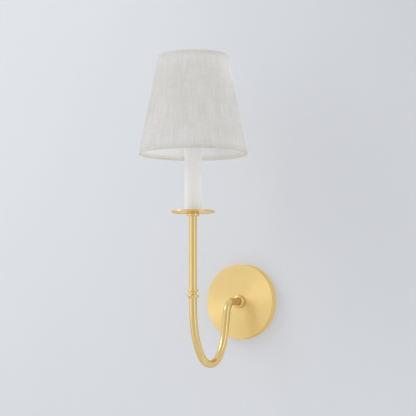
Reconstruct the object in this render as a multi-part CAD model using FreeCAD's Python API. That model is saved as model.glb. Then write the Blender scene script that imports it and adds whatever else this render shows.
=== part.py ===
import FreeCAD, Part
import math
import os

# Wall light with one swan-neck arm, a candle sleeve and a tapered fabric shade.
# Millimetres. +Z is up, +X is to the right as seen from the room, and the room
# is on the -Y side of the wall plane y = 0. The origin lies on the wall plane,
# midway between the two slots of the mounting strap. In the code below, "out"
# is the distance from the wall, so a point's y is minus its "out".

os.makedirs("parts", exist_ok=True)

# Back plate, a shallow round pan
PLATE_R = 60.0
PLATE_DEPTH = 14.3
PLATE_WALL = 1.2
PLATE_EDGE_R = 0.5
PLATE_BACK_EDGE_R = 0.4

# Mounting strap inside the pan
STRAP_WIDTH = 19.0
STRAP_THICK = 1.5
STRAP_HALF = 57.2
STRAP_TAB_OUT = 11.0
STRAP_BEND_R = 1.0
SLOT_SPACING = 88.9
SLOT_WIDTH = 4.8
SLOT_LENGTH = 12.0

# Grub screws through the rim of the pan into the strap's tabs
RIM_SCREW_OUT = 7.0
RIM_SCREW_R = 1.9
RIM_SCREW_HOLE_R = 1.95
RIM_SCREW_END = 52.0
RIM_SCREW_SUNK = 0.15
RIM_SLIT = 0.7

# Earthing inside the pan
GROUND_SCREW_Z = 20.0
GROUND_SCREW_R = 1.55
GROUND_HOLE_R = 1.6
GROUND_HEAD_FLATS = 6.4
GROUND_HEAD_HIGH = 2.2
GROUND_TAB_X = -16.0
GROUND_TAB_WIDTH = 6.0
GROUND_TAB_THICK = 0.8
GROUND_TAB_HIGH = 9.0
GROUND_RIVET_R = 1.5

# Tubes
TUBE_R = 5.9
TUBE_BORE_R = 4.7
NIPPLE_BORE_R = 3.5
TUBE_SEAT_OUT = PLATE_DEPTH + 1.5

# The arm's centre line, from the knop down, round and up to the plate
STEM_OUT = 159.5
ARM_TOP_Z = 7.0
ARM_BEND_Z = -6.4
ARM_BENDS = ((175.0, 12.4), (95.0, 27.5), (37.5, 101.6), (75.0, 26.6))
HOOK_R = 20.0

# Collar where the arm meets the plate
COLLAR_R = 10.25
COLLAR_BASE_R = 9.4
COLLAR_HIGH = 6.0
COLLAR_LIP_R = 7.6
COLLAR_BEVEL = 0.6

# Nuts and nipples
NUT_FLATS = 13.6
NUT_HIGH = 3.6
WASHER_R = 8.4
WASHER_THICK = 0.8
WASHER_TEETH = 12
WASHER_GAP_R = 0.9
ARM_NIPPLE_IN = 7.0
ARM_NIPPLE_LONG = 21.0
STEM_NIPPLE_LOW_Z = 112.0
STEM_NIPPLE_TOP_Z = 145.0

# Upright stem and what it carries
KNOP_LOW_Z = 1.8
KNOP_NECK_LOW_Z = 8.0
KNOP_NECK_TOP_Z = 11.9
KNOP_TOP_Z = 16.4
KNOP_LOW_R = 8.9
KNOP_TOP_R = 7.9
KNOP_NECK_R = 5.65
STEM_LOW_Z = 12.6
STEM_TOP_Z = 127.7
CUP_R = 9.45
CUP_TOP_Z = 132.6
CUP_EDGE_R = 0.9
CUP_GROOVE_R = 8.6
BOBECHE_R = 33.4
BOBECHE_LOW_Z = 133.7
BOBECHE_TOP_Z = 134.9
BOBECHE_BEAD_R = 1.4
BOBECHE_BEAD_Z = 134.6
SLEEVE_R = 13.0
SLEEVE_BORE_R = 11.8
SLEEVE_TOP_Z = 240.0
SLEEVE_RIM = 0.4

# Lampholder
BRACKET_Z = 138.9
BRACKET_THICK = 1.2
BRACKET_HALF = 9.8
BRACKET_WIDTH = 11.6
BRACKET_TOP_Z = 206.0
BRACKET_SCREW_Z = 200.0
BRACKET_SCREW_R = 1.3
BRACKET_HOLE_R = 1.35
BRACKET_HEAD_R = 2.3
BRACKET_HEAD_HIGH = 1.2
HOLDER_LOW_Z = 193.0
HOLDER_STEP_Z = 211.0
HOLDER_TOP_Z = 238.5
HOLDER_FOOT_R = 8.5
HOLDER_R = 10.8
HOLDER_BORE_R = 6.9
SHELL_BORE_R = 6.35
CONTACT_R = 3.6
CONTACT_TIP_R = 2.2
CONTACT_FOOT = 0.5
CONTACT_HIGH = 1.6
TERMINAL_WIDTH = 4.0
TERMINAL_DEEP = 3.6
TERMINAL_HIGH = 3.0

# Bulb
CAP_R = 5.95
CAP_LOW_Z = 216.4
CAP_TOP_Z = 236.0
CAP_RIDGES = 6
CAP_RIDGE_DEEP = 0.4
CAP_SHEET = 1.2
CAP_PIN_R = 1.9
GLASS = 0.8
GLOBE_NECK_R = CAP_R - 0.4
GLOBE_NECK_TOP_Z = CAP_TOP_Z + 1.5
GLOBE_SHOULDER = (13.6, 250.0)
GLOBE_R = 17.5
GLOBE_WIDE_Z = 268.0
GLOBE_TAPER = (13.0, 297.0)
GLOBE_TIP_Z = 318.0
GLASS_STEM_HIGH = 26.0
FILAMENT_LOW_Z = 264.0
FILAMENT_TOP_Z = 294.0
FILAMENT_RING_R = 5.0
FILAMENT_RODS = 4
LIGHT_ROD_R = 0.75
SUPPORT_WIRE_R = 0.4

# Shade
SHADE_LOW_Z = 222.3
SHADE_TOP_Z = 376.5
SHADE_LOW_R = 84.2
SHADE_TOP_R = 53.6
FABRIC = 0.6
LINER = 0.4
RING_WIRE_R = 0.9
HEM_IN_R = 0.95
HEM_OUT_R = 1.5
HEM_BAND = 6.0
HEM_THICK = 0.4
SEAM_WIDTH = 12.0
SEAM_THICK = 0.35

# Shade carrier
HUB_Z = 349.4
HUB_R = 8.0
HUB_THICK = 1.4
HUB_HOLE_R = 2.2
SPOKE_R = 1.2
SPOKE_TURNS = (90.0, 210.0, 330.0)
CLIP_WIRE_R = 0.9
CLIP_SIDE = 18.9
CLIP_HALF = 8.5
CLIP_SHOULDER_Z = 322.0
CLIP_LOW_Z = 257.5
CLIP_HEAD_X = 4.2
CLIP_HEAD_Y = 4.6
CLIP_HEAD_DROP = 3.0
CLIP_HEAD_BEND_R = 2.4
CLIP_SHOULDER_BEND_R = 9.0

# Leads
LEAD_R = 1.1
LEAD_OFF = 1.25
LEAD_SPREAD = 5.0
LEAD_WIDE_Z = 172.0
LEAD_NARROW_Z = 150.0
LEAD_ARM_Z = 100.0
LEAD_BEND_R = 30.0
LEAD_TURN_OUT = 3.6
LEAD_TURN_X = -13.0
LEAD_RISE_X = -19.0
CONNECTOR_X = -24.0
CONNECTOR_Z = 9.5
CONNECTOR_OUT = 6.6
CONNECTOR_LONG = 17.0
CONNECTOR_R = 4.6
CONNECTOR_TIP_R = 3.0
CONNECTOR_SKIRT_R = 5.2
CONNECTOR_SKIRT = 4.0
CONNECTOR_GRIP = 7.0

UP = FreeCAD.Vector(0, 0, 1)
TO_WALL = FreeCAD.Vector(0, 1, 0)
TO_RIGHT = FreeCAD.Vector(1, 0, 0)
STEM_AXIS = FreeCAD.Vector(0, -STEM_OUT, 0)


def spot(x, out, z):
    return FreeCAD.Vector(x, -out, z)


def stem_spot(r, z):
    return spot(r, STEM_OUT, z)


def plate_spot(r, out):
    return spot(r, out, 0)


def outline(items, place):
    """A closed face. An item is a corner, or a pair: a point on an arc and its end."""
    here = place(*items[0])
    edges = []
    for item in items[1:] + [items[0]]:
        if isinstance(item[0], tuple):
            end = place(*item[1])
            edges.append(Part.Arc(here, place(*item[0]), end).toShape())
        else:
            end = place(*item)
            if (end - here).Length > 0.001:
                edges.append(Part.LineSegment(here, end).toShape())
        here = end
    return Part.Face(Part.Wire(edges))


def turned(items, angle=360):
    """A profile of (radius, height) turned about the stem's axis."""
    return outline(items, stem_spot).revolve(STEM_AXIS, UP, angle)


def spun(items):
    """A profile of (radius, out) turned about the plate's axis."""
    return outline(items, plate_spot).revolve(FreeCAD.Vector(), TO_WALL, 360)


def tube_piece(outer_r, bore_r, low_z, top_z):
    corners = [(bore_r, low_z), (outer_r, low_z), (outer_r, top_z), (bore_r, top_z)]
    return turned(corners)


def rod(start, end, radius):
    return Part.makeCylinder(radius, (end - start).Length, start, end - start)


def sweep(edges, radius):
    """A round solid along joined edges that are tangent to each other."""
    path = Part.Wire(edges)
    first = edges[0]
    start = first.valueAt(first.FirstParameter)
    along = first.tangentAt(first.FirstParameter)
    section = Part.Wire([Part.makeCircle(radius, start, along)])
    return path.makePipeShell([section], True, False)


def planar_route(x, side, at, heading, moves):
    """Edges of a route in the plane of the arm, and where it ends.

    at is (out, z), heading is in degrees from the outward direction towards up, and
    side shifts the whole route to its left. A move is a run length, or a pair of
    radius and left turn in degrees.
    """
    def shifted(point, angle):
        rad = math.radians(angle)
        return spot(x, point[0] - side * math.sin(rad), point[1] + side * math.cos(rad))

    edges = []
    for move in moves:
        if isinstance(move, tuple):
            radius, turn = move
            sign = 1 if turn > 0 else -1
            to_centre = math.radians(heading + 90 * sign)
            centre = (at[0] + radius * math.cos(to_centre), at[1] + radius * math.sin(to_centre))
            stops = [at]
            for part in (0.5, 1.0):
                back = math.radians(heading + turn * part - 90 * sign)
                stops.append((centre[0] + radius * math.cos(back),
                              centre[1] + radius * math.sin(back)))
            places = [shifted(stop, heading + turn * part)
                      for stop, part in zip(stops, (0, 0.5, 1))]
            edges.append(Part.Arc(*places).toShape())
            at = stops[-1]
            heading += turn
        else:
            rad = math.radians(heading)
            end = (at[0] + move * math.cos(rad), at[1] + move * math.sin(rad))
            edges.append(Part.LineSegment(shifted(at, heading), shifted(end, heading)).toShape())
            at = end
    return edges, at, heading


def rounded_route(points, radii):
    """Straight edges between points, with each inner corner rounded by its radius."""
    edges = []
    here = points[0]
    for before, corner, after, radius in zip(points, points[1:], points[2:], radii):
        come = (corner - before).normalize()
        leave = (after - corner).normalize()
        half = come.getAngle(leave) / 2
        back = radius * math.tan(half)
        start = corner - come * back
        end = corner + leave * back
        inward = (leave - come).normalize()
        middle = corner + inward * (radius / math.cos(half) - radius)
        if (start - here).Length > 0.001:
            edges.append(Part.LineSegment(here, start).toShape())
        edges.append(Part.Arc(start, middle, end).toShape())
        here = end
    edges.append(Part.LineSegment(here, points[-1]).toShape())
    return edges


def hex_prism(flats, high, centre, axis):
    corner = flats / math.sqrt(3)
    points = [FreeCAD.Vector(corner * math.cos(k * math.pi / 3),
                             corner * math.sin(k * math.pi / 3), 0) for k in range(6)]
    prism = Part.Face(Part.makePolygon(points + [points[0]])).extrude(UP * high)
    prism.Placement = FreeCAD.Placement(centre, FreeCAD.Rotation(UP, axis))
    return prism


# Back plate and what fixes it to the wall
def backplate():
    edge, back = PLATE_EDGE_R, PLATE_BACK_EDGE_R
    slack = 1 - math.sqrt(0.5)
    inner = PLATE_R - PLATE_WALL
    face = PLATE_DEPTH - PLATE_WALL
    pan = spun([
        (TUBE_BORE_R, face), (TUBE_BORE_R, PLATE_DEPTH), (PLATE_R - edge, PLATE_DEPTH),
        ((PLATE_R - edge * slack, PLATE_DEPTH - edge * slack), (PLATE_R, PLATE_DEPTH - edge)),
        (PLATE_R, back), ((PLATE_R - back * slack, back * slack), (PLATE_R - back, 0)),
        (inner, 0), (inner, face - edge),
        ((inner - edge * slack, face - edge * slack), (inner - edge, face)),
    ])
    hole = rod(spot(0, RIM_SCREW_OUT, -PLATE_R), spot(0, RIM_SCREW_OUT, PLATE_R), RIM_SCREW_HOLE_R)
    return pan.cut(hole)


def mounting_strap():
    """A flat bar with two slots and a tab bent out at each end."""
    top, out, thick = STRAP_HALF, STRAP_TAB_OUT, STRAP_THICK
    bend_in, bend_out = STRAP_BEND_R, STRAP_BEND_R + thick
    slack = 1 - math.sqrt(0.5)
    inner = top - thick

    def side_spot(out_now, z):
        return spot(-STRAP_WIDTH / 2, out_now, z)

    bent = outline([
        (0, bend_out - top), (0, top - bend_out),
        ((bend_out * slack, top - bend_out * slack), (bend_out, top)),
        (out, top), (out, inner), (bend_out, inner),
        ((thick + bend_in * slack, inner - bend_in * slack), (thick, inner - bend_in)),
        (thick, bend_in - inner),
        ((thick + bend_in * slack, bend_in * slack - inner), (bend_out, -inner)),
        (out, -inner), (out, -top), (bend_out, -top),
        ((bend_out * slack, bend_out * slack - top), (0, bend_out - top)),
    ], side_spot)
    strap = bent.extrude(TO_RIGHT * STRAP_WIDTH)
    half_run = (SLOT_LENGTH - SLOT_WIDTH) / 2
    for sign in (-1, 1):
        middle = sign * SLOT_SPACING / 2
        for end in (middle - half_run, middle + half_run):
            strap = strap.cut(rod(spot(0, -1, end), spot(0, thick + 1, end), SLOT_WIDTH / 2))
        slot = Part.makeBox(SLOT_WIDTH, thick + 2, 2 * half_run,
                            spot(-SLOT_WIDTH / 2, thick + 1, middle - half_run))
        strap = strap.cut(slot)
    for z in (-top, top):
        strap = strap.cut(rod(spot(0, RIM_SCREW_OUT, z - 3), spot(0, RIM_SCREW_OUT, z + 3),
                              RIM_SCREW_HOLE_R))
    return strap.cut(rod(spot(0, -1, GROUND_SCREW_Z), spot(0, thick + 1, GROUND_SCREW_Z),
                         GROUND_HOLE_R))


def rim_screws():
    """Two slotted grub screws that end just below the pan's rim."""
    inside = rod(spot(0, -1, 0), spot(0, PLATE_DEPTH + 1, 0), PLATE_R - RIM_SCREW_SUNK)
    screws = []
    for sign in (-1, 1):
        shank = rod(spot(0, RIM_SCREW_OUT, sign * RIM_SCREW_END),
                    spot(0, RIM_SCREW_OUT, sign * PLATE_R), RIM_SCREW_R).common(inside)
        slit = Part.makeBox(2 * RIM_SCREW_R, RIM_SLIT, 2 * RIM_SLIT,
                            spot(-RIM_SCREW_R, RIM_SCREW_OUT + RIM_SLIT / 2,
                                 sign * (PLATE_R - RIM_SCREW_SUNK) - RIM_SLIT))
        screws.append(shank.cut(slit))
    return Part.makeCompound(screws)


def ground_screw():
    head = hex_prism(GROUND_HEAD_FLATS, GROUND_HEAD_HIGH, spot(0, STRAP_THICK, GROUND_SCREW_Z),
                     spot(0, 1, 0))
    shank = rod(spot(0, 0.1, GROUND_SCREW_Z), spot(0, STRAP_THICK + 0.5, GROUND_SCREW_Z),
                GROUND_SCREW_R)
    return head.fuse(shank).removeSplitter()


# Arm joint at the plate
def arm_collar():
    base, top = PLATE_DEPTH, PLATE_DEPTH + COLLAR_HIGH
    return spun([
        (TUBE_BORE_R, base), (COLLAR_BASE_R, base),
        ((COLLAR_R, base + COLLAR_HIGH / 2), (COLLAR_LIP_R, top)),
        (TUBE_R, top - COLLAR_BEVEL), (TUBE_R, TUBE_SEAT_OUT), (TUBE_BORE_R, TUBE_SEAT_OUT),
    ])


def arm_washer():
    face = PLATE_DEPTH - PLATE_WALL
    ring = spun([(TUBE_BORE_R, face - WASHER_THICK), (WASHER_R, face - WASHER_THICK),
                 (WASHER_R, face), (TUBE_BORE_R, face)])
    for k in range(WASHER_TEETH):
        turn = 2 * math.pi * (k + 0.5) / WASHER_TEETH
        gap_x, gap_z = WASHER_R * math.cos(turn), WASHER_R * math.sin(turn)
        ring = ring.cut(rod(spot(gap_x, face - 2, gap_z), spot(gap_x, face + 1, gap_z),
                            WASHER_GAP_R))
    return ring


def arm_nut():
    start = PLATE_DEPTH - PLATE_WALL - WASHER_THICK - NUT_HIGH
    nut = hex_prism(NUT_FLATS, NUT_HIGH, spot(0, start, 0), spot(0, 1, 0))
    return nut.cut(rod(spot(0, 0, 0), spot(0, PLATE_DEPTH, 0), TUBE_BORE_R))


def arm_nipple():
    end = ARM_NIPPLE_IN + ARM_NIPPLE_LONG
    return spun([(NIPPLE_BORE_R, ARM_NIPPLE_IN), (TUBE_BORE_R, ARM_NIPPLE_IN),
                 (TUBE_BORE_R, end), (NIPPLE_BORE_R, end)])


def arm_moves(start_z, end_out):
    """The arm's moves from a height on the stem's axis to a distance from the wall."""
    moves = [start_z - ARM_BEND_Z]
    moves += [(radius, -turn) for radius, turn in ARM_BENDS]
    at, heading = planar_route(0, 0, (STEM_OUT, start_z), -90, moves)[1:]
    rest = 180 - (heading + 360)
    rise = HOOK_R * (1 - math.cos(math.radians(rest)))
    limb = (-rise - at[1]) / math.sin(math.radians(heading))
    moves += [limb, (HOOK_R, rest)]
    at = planar_route(0, 0, (STEM_OUT, start_z), -90, moves)[1]
    return moves + [at[0] - end_out]


def arm_tube():
    edges = planar_route(0, 0, (STEM_OUT, ARM_TOP_Z), -90, arm_moves(ARM_TOP_Z, TUBE_SEAT_OUT))[0]
    return sweep(edges, TUBE_R).cut(sweep(edges, TUBE_BORE_R))


# Upright stem
def knop():
    low, neck, waist, top = KNOP_LOW_Z, KNOP_NECK_LOW_Z, KNOP_NECK_TOP_Z, KNOP_TOP_Z
    body = turned([
        (4.0, low), (TUBE_R + 0.3, low),
        ((KNOP_LOW_R - 0.7, low + 2.0), (KNOP_LOW_R, neck - 2.2)),
        ((KNOP_LOW_R - 0.8, neck - 0.5), (KNOP_NECK_R + 0.6, neck)),
        (KNOP_NECK_R + 0.6, neck + 0.2), (KNOP_NECK_R, neck + 0.6), (KNOP_NECK_R, waist - 0.4),
        ((KNOP_TOP_R - 0.4, waist + 0.4), (KNOP_TOP_R, (waist + top) / 2)),
        ((KNOP_TOP_R - 0.5, top - 0.5), (TUBE_R + 0.2, top)), (4.0, top),
    ])
    for seat_low, seat_top in ((low - 1, ARM_TOP_Z), (STEM_LOW_Z, top + 1)):
        body = body.cut(rod(stem_spot(0, seat_low), stem_spot(0, seat_top), TUBE_R))
    return body


def stem_tube():
    return tube_piece(TUBE_R, TUBE_BORE_R, STEM_LOW_Z, STEM_TOP_Z)


def stem_nipple():
    return tube_piece(TUBE_BORE_R, NIPPLE_BORE_R, STEM_NIPPLE_LOW_Z, STEM_NIPPLE_TOP_Z)


def bobeche_cup():
    """A ring with rounded edges and a groove between it and the drip plate."""
    low, top = STEM_TOP_Z, CUP_TOP_Z
    edge, slack = CUP_EDGE_R, CUP_EDGE_R * (1 - math.sqrt(0.5))
    return turned([
        (TUBE_BORE_R, low), (CUP_R - edge, low),
        ((CUP_R - slack, low + slack), (CUP_R, low + edge)), (CUP_R, top - edge),
        ((CUP_R - slack, top - slack), (CUP_R - edge, top)), (CUP_GROOVE_R, top),
        (CUP_GROOVE_R, BOBECHE_LOW_Z), (TUBE_BORE_R, BOBECHE_LOW_Z),
    ])


def bobeche():
    """The thin round drip plate with a rolled rim."""
    low, top, bead, middle = BOBECHE_LOW_Z, BOBECHE_TOP_Z, BOBECHE_BEAD_R, BOBECHE_BEAD_Z
    centre = BOBECHE_R - bead
    under = centre - math.sqrt(bead ** 2 - (middle - low) ** 2)
    over = centre - math.sqrt(bead ** 2 - (top - middle) ** 2)
    return turned([
        (TUBE_BORE_R, low), (under, low),
        ((centre, middle - bead), (BOBECHE_R, middle)), ((centre, middle + bead), (over, top)),
        (TUBE_BORE_R, top),
    ])


def bobeche_nut():
    nut = hex_prism(NUT_FLATS, NUT_HIGH, stem_spot(0, BOBECHE_TOP_Z), UP)
    return nut.cut(rod(stem_spot(0, BOBECHE_LOW_Z), stem_spot(0, BRACKET_Z), TUBE_BORE_R))


def candle_sleeve():
    low, top = BOBECHE_TOP_Z, SLEEVE_TOP_Z
    return turned([
        (SLEEVE_BORE_R, low), (SLEEVE_R, low), (SLEEVE_R, top - SLEEVE_RIM),
        (SLEEVE_R - SLEEVE_RIM, top), (SLEEVE_BORE_R, top),
    ])


# Lampholder
def socket_bracket():
    half, thick = BRACKET_HALF, BRACKET_THICK
    corner = stem_spot(-half, BRACKET_Z) + TO_WALL * (-BRACKET_WIDTH / 2)
    block = Part.makeBox(2 * half, BRACKET_WIDTH, BRACKET_TOP_Z - BRACKET_Z, corner)
    hollow = Part.makeBox(2 * (half - thick), BRACKET_WIDTH + 2, BRACKET_TOP_Z,
                          corner + FreeCAD.Vector(thick, -1, thick))
    strip = block.cut(hollow)
    strip = strip.cut(rod(stem_spot(0, BRACKET_Z - 1), stem_spot(0, BRACKET_Z + 3), TUBE_BORE_R))
    return strip.cut(rod(stem_spot(-half - 1, BRACKET_SCREW_Z), stem_spot(half + 1, BRACKET_SCREW_Z),
                         BRACKET_HOLE_R))


def bracket_screws():
    screws = []
    for sign in (-1, 1):
        face = stem_spot(sign * BRACKET_HALF, BRACKET_SCREW_Z)
        head = rod(face, face + TO_RIGHT * (sign * BRACKET_HEAD_HIGH), BRACKET_HEAD_R)
        shank = rod(stem_spot(sign * 4.5, BRACKET_SCREW_Z), face + TO_RIGHT * (sign * 0.1),
                    BRACKET_SCREW_R)
        screws.append(head.fuse(shank).removeSplitter())
    return Part.makeCompound(screws)


def lampholder_body():
    body = turned([
        (0, HOLDER_LOW_Z), (HOLDER_FOOT_R, HOLDER_LOW_Z), (HOLDER_FOOT_R, HOLDER_STEP_Z),
        (HOLDER_R, HOLDER_STEP_Z + 1.5), (HOLDER_R, HOLDER_TOP_Z), (HOLDER_BORE_R, HOLDER_TOP_Z),
        (HOLDER_BORE_R, HOLDER_STEP_Z), (0, HOLDER_STEP_Z),
    ])
    return body.cut(rod(stem_spot(-HOLDER_R, BRACKET_SCREW_Z), stem_spot(HOLDER_R, BRACKET_SCREW_Z),
                        BRACKET_HOLE_R))


def lampholder_shell():
    return tube_piece(HOLDER_BORE_R, SHELL_BORE_R, HOLDER_STEP_Z, HOLDER_TOP_Z - 1.5)


def lampholder_contact():
    low, top = HOLDER_STEP_Z, HOLDER_STEP_Z + CONTACT_HIGH
    return turned([(0, low), (CONTACT_R, low), (CONTACT_R, low + CONTACT_FOOT),
                   (CONTACT_TIP_R, top), (0, top)])


def lampholder_terminals():
    blocks = []
    for sign in (-1, 1):
        corner = stem_spot(-TERMINAL_WIDTH / 2, HOLDER_LOW_Z - TERMINAL_HIGH)
        corner += TO_WALL * (sign * LEAD_SPREAD - TERMINAL_DEEP / 2)
        blocks.append(Part.makeBox(TERMINAL_WIDTH, TERMINAL_DEEP, TERMINAL_HIGH, corner))
    return Part.makeCompound(blocks)


# Bulb
def bulb_cap():
    pitch = (CAP_TOP_Z - 2 - CAP_LOW_Z) / CAP_RIDGES
    bore = CAP_R - CAP_SHEET
    items = [(bore, CAP_LOW_Z), (CAP_R - CAP_RIDGE_DEEP, CAP_LOW_Z)]
    for k in range(CAP_RIDGES):
        low = CAP_LOW_Z + k * pitch
        items.append(((CAP_R, low + pitch / 2), (CAP_R - CAP_RIDGE_DEEP, low + pitch)))
    items += [(CAP_R, CAP_TOP_Z - 1.5), (CAP_R, CAP_TOP_Z), (GLOBE_NECK_R, CAP_TOP_Z),
              (bore, CAP_TOP_Z - 2)]
    return turned(items)


def bulb_insulator():
    bore, low, top = CAP_R - CAP_SHEET, CAP_LOW_Z - 1.6, CAP_LOW_Z + CAP_SHEET
    return turned([(CAP_PIN_R, low), (3.4, low), (CAP_R - 0.6, CAP_LOW_Z), (bore, CAP_LOW_Z),
                   (bore, top), (CAP_PIN_R, top)])


def bulb_contact():
    low = CAP_LOW_Z - 2.4
    return turned([(0, low), (0.6, low), ((1.5, low + 0.25), (CAP_PIN_R, low + 0.8)),
                   (CAP_PIN_R, CAP_LOW_Z + CAP_SHEET), (0, CAP_LOW_Z + CAP_SHEET)])


def bulb_globe():
    neck, shoulder, taper = GLOBE_NECK_R, GLOBE_SHOULDER, GLOBE_TAPER
    return turned([
        (neck, CAP_TOP_Z), (neck, GLOBE_NECK_TOP_Z),
        (shoulder, (GLOBE_R, GLOBE_WIDE_Z)), (taper, (0.5, GLOBE_TIP_Z)),
        (0, GLOBE_TIP_Z), (0, GLOBE_TIP_Z - 1.2), (0.4, GLOBE_TIP_Z - 1.2),
        ((taper[0] - GLASS, taper[1] - 1.0), (GLOBE_R - GLASS, GLOBE_WIDE_Z)),
        ((shoulder[0] - GLASS, shoulder[1] + 0.6), (neck - GLASS, GLOBE_NECK_TOP_Z)),
        (neck - GLASS, CAP_TOP_Z),
    ])


def bulb_stem():
    low, top, bore = CAP_TOP_Z, CAP_TOP_Z + GLASS_STEM_HIGH, GLOBE_NECK_R - GLASS
    return turned([(0, low), (bore, low), (bore, low + 1.0), (2.4, low + 7), (2.0, top - 2),
                   ((1.5, top - 0.6), (0.4, top)), (0, top)])


def bulb_filament():
    """Light rods round the glass stem, joined by a wire ring at the top."""
    low, top, ring_r = FILAMENT_LOW_Z, FILAMENT_TOP_Z, FILAMENT_RING_R
    rods = []
    for k in range(FILAMENT_RODS):
        turn = 2 * math.pi * (k + 0.5) / FILAMENT_RODS
        foot = stem_spot(ring_r * math.cos(turn), low) + TO_WALL * (ring_r * math.sin(turn))
        rods.append(rod(foot, foot + UP * (top - low), LIGHT_ROD_R))
    crown = Part.makeTorus(ring_r, SUPPORT_WIRE_R, stem_spot(0, top), UP)
    spine = rod(stem_spot(0, CAP_TOP_Z + GLASS_STEM_HIGH), stem_spot(0, top), SUPPORT_WIRE_R)
    bridge = rod(stem_spot(-ring_r, top), stem_spot(ring_r, top), SUPPORT_WIRE_R)
    return rods[0].multiFuse(rods[1:] + [crown, bridge, spine])


# Shade
def shade_r(z):
    part = (z - SHADE_LOW_Z) / (SHADE_TOP_Z - SHADE_LOW_Z)
    return SHADE_LOW_R + (SHADE_TOP_R - SHADE_LOW_R) * part


def cone_skin(outer_in, thick, low_z, top_z):
    """A tapered skin whose outer side lies outer_in inside the shade's outside."""
    return turned([
        (shade_r(low_z) - outer_in, low_z), (shade_r(top_z) - outer_in, top_z),
        (shade_r(top_z) - outer_in - thick, top_z), (shade_r(low_z) - outer_in - thick, low_z),
    ])


def ring_centre(end):
    """Radius and height of a wire ring's centre; end is -1 at the bottom, 1 at the top."""
    z = SHADE_LOW_Z + HEM_OUT_R if end < 0 else SHADE_TOP_Z - HEM_OUT_R
    return shade_r(z) - FABRIC - HEM_IN_R, z


def shade_fabric():
    return cone_skin(0, FABRIC, ring_centre(-1)[1], ring_centre(1)[1])


def shade_liner():
    return cone_skin(FABRIC, LINER, ring_centre(-1)[1] + 1.2, ring_centre(1)[1] - 1.2)


def shade_seam():
    low, top = ring_centre(-1)[1] + 0.6, ring_centre(1)[1] - 0.6
    angle = math.degrees(SEAM_WIDTH / SHADE_LOW_R)
    strip = turned([
        (shade_r(low), low), (shade_r(low) + SEAM_THICK, low), (shade_r(top) + SEAM_THICK, top),
        (shade_r(top), top),
    ], angle)
    strip.rotate(STEM_AXIS, UP, 90 - angle / 2)
    return strip


def shade_ring(end):
    radius, z = ring_centre(end)
    return Part.makeTorus(radius, RING_WIRE_R, stem_spot(0, z), UP)


def hem(end):
    """The rolled edge round a wire ring, with its band turned in over the liner."""
    radius, z = ring_centre(end)
    turn_z = z - end * RING_WIRE_R
    band_z = z - end * HEM_BAND
    band_r = shade_r(band_z) - FABRIC - LINER
    return turned([
        (radius + HEM_IN_R, z), ((radius, z + end * HEM_IN_R), (radius - HEM_IN_R, z)),
        (radius - HEM_IN_R, turn_z), (band_r, band_z), (band_r - HEM_THICK, band_z),
        (radius - HEM_OUT_R, turn_z), (radius - HEM_OUT_R, z),
        ((radius, z + end * HEM_OUT_R), (radius + HEM_OUT_R, z)),
    ])


# Shade carrier
def spider_hub():
    low, top = HUB_Z, HUB_Z + HUB_THICK
    return turned([(HUB_HOLE_R, low), (HUB_R - 0.5, low),
                   ((HUB_R, low + HUB_THICK / 2), (HUB_R - 0.5, top)), (HUB_HOLE_R, top)])


def spider_spoke(turn):
    radius, z = ring_centre(1)
    inner = stem_spot(HUB_R - 1.2, HUB_Z + HUB_THICK / 2)
    spoke = rod(inner, stem_spot(radius, z - 0.6), SPOKE_R)
    spoke = spoke.cut(spider_hub()).cut(shade_ring(1)).cut(hem(1)).cut(shade_liner())
    solids = sorted(spoke.Solids, key=lambda solid: solid.Volume)
    spoke = solids[-1]
    spoke.rotate(STEM_AXIS, UP, turn)
    return spoke


def bulb_clip(sign):
    """A wire loop beside the bulb, hung from under the hub."""
    side, head = sign * CLIP_SIDE, sign * CLIP_HEAD_X
    top, low = HUB_Z - 0.05, CLIP_LOW_Z + CLIP_WIRE_R

    def place(x, y, z):
        return stem_spot(x, z) + TO_WALL * y

    points = [
        place(head, -CLIP_HEAD_Y, top), place(head, -CLIP_HEAD_Y, top - CLIP_HEAD_DROP),
        place(side, -CLIP_HALF, CLIP_SHOULDER_Z), place(side, -CLIP_HALF, low),
        place(side, CLIP_HALF, low), place(side, CLIP_HALF, CLIP_SHOULDER_Z),
        place(head, CLIP_HEAD_Y, top - CLIP_HEAD_DROP), place(head, CLIP_HEAD_Y, top),
    ]
    bends = [CLIP_HEAD_BEND_R, CLIP_SHOULDER_BEND_R, CLIP_HALF - 0.1]
    return sweep(rounded_route(points, bends + bends[::-1]), CLIP_WIRE_R)


# Leads
def lead(sign):
    """One insulated lead from a lampholder terminal through the arm to its connector."""
    off = sign * LEAD_OFF
    top = stem_spot(0, HOLDER_LOW_Z - TERMINAL_HIGH) + TO_WALL * (sign * LEAD_SPREAD)
    wide = stem_spot(0, LEAD_WIDE_Z) + TO_WALL * (sign * LEAD_SPREAD)
    narrow = stem_spot(0, LEAD_NARROW_Z) + TO_WALL * off
    start = stem_spot(0, LEAD_ARM_Z) + TO_WALL * off
    edges = rounded_route([top, wide, narrow, start], [LEAD_BEND_R, LEAD_BEND_R])
    moves = arm_moves(LEAD_ARM_Z, LEAD_TURN_OUT + 8.0)
    edges += planar_route(0, -off, (STEM_OUT, LEAD_ARM_Z), -90, moves)[0]
    end = edges[-1].valueAt(edges[-1].LastParameter)
    away = math.copysign(1, end.z)
    edges += rounded_route([
        end, spot(0, LEAD_TURN_OUT, end.z), spot(LEAD_TURN_X, LEAD_TURN_OUT, end.z + away * 0.6),
        spot(LEAD_RISE_X, CONNECTOR_OUT, away * CONNECTOR_Z),
        spot(CONNECTOR_X - CONNECTOR_GRIP, CONNECTOR_OUT, away * CONNECTOR_Z),
    ], [LEAD_TURN_OUT] * 3)
    return sweep(edges, LEAD_R), sum(edge.Length for edge in edges)


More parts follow.
